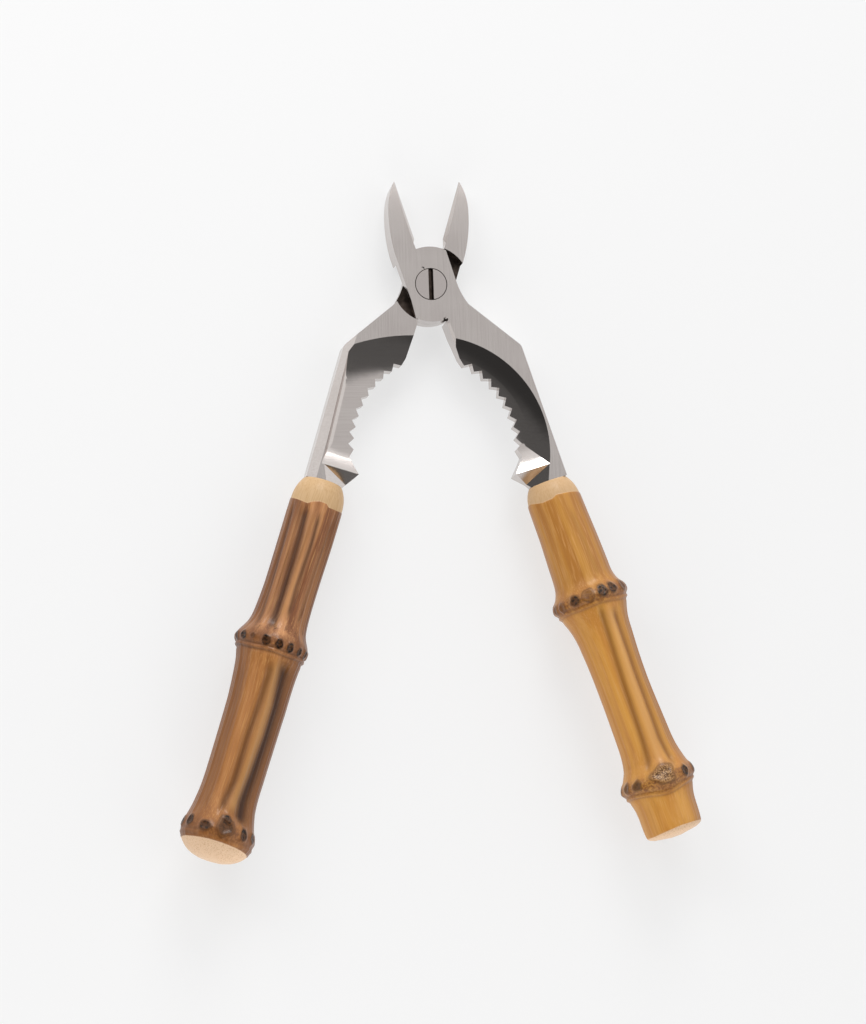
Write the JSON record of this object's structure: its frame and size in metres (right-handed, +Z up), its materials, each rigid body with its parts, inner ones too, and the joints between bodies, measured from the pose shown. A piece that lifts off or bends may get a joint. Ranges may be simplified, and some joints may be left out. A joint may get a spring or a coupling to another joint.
{
  "type": "lobster cracker",
  "caption": "Plier-type lobster cracker: crossed steel levers on a slotted pivot screw, nipper blades, concave toothed jaws with spurs, bamboo root handles.",
  "frame": {"origin": "on the pivot axis, at the flat back face of the rear lever's hub", "axes": "+Y towards the blades along the open tool's middle, +Z up the pivot axis to the screw head, +X to the right seen from the screw head"},
  "size_m": [0.1569, 0.2059, 0.023],
  "materials": {
    "steel": "polished",
    "screw_steel": "ground, polished",
    "dark_bamboo": "lacquered",
    "honey_bamboo": "lacquered",
    "resin": "cured glue"
  },
  "bodies": {
    "left_half": {"rear_lever": "steel", "pivot_screw": "screw_steel", "left_tang_resin": "resin", "left_handle": "dark_bamboo"},
    "right_half": {"front_lever": "steel", "right_tang_resin": "resin", "right_handle": "honey_bamboo"}
  },
  "joints": [
    {"name": "pivot", "type": "hinge", "parent": "left_half", "child": "right_half", "pos_m": [0, 0, 0.004], "axis": [0, 0, 1], "range_deg": [-34, 55]}
  ]
}
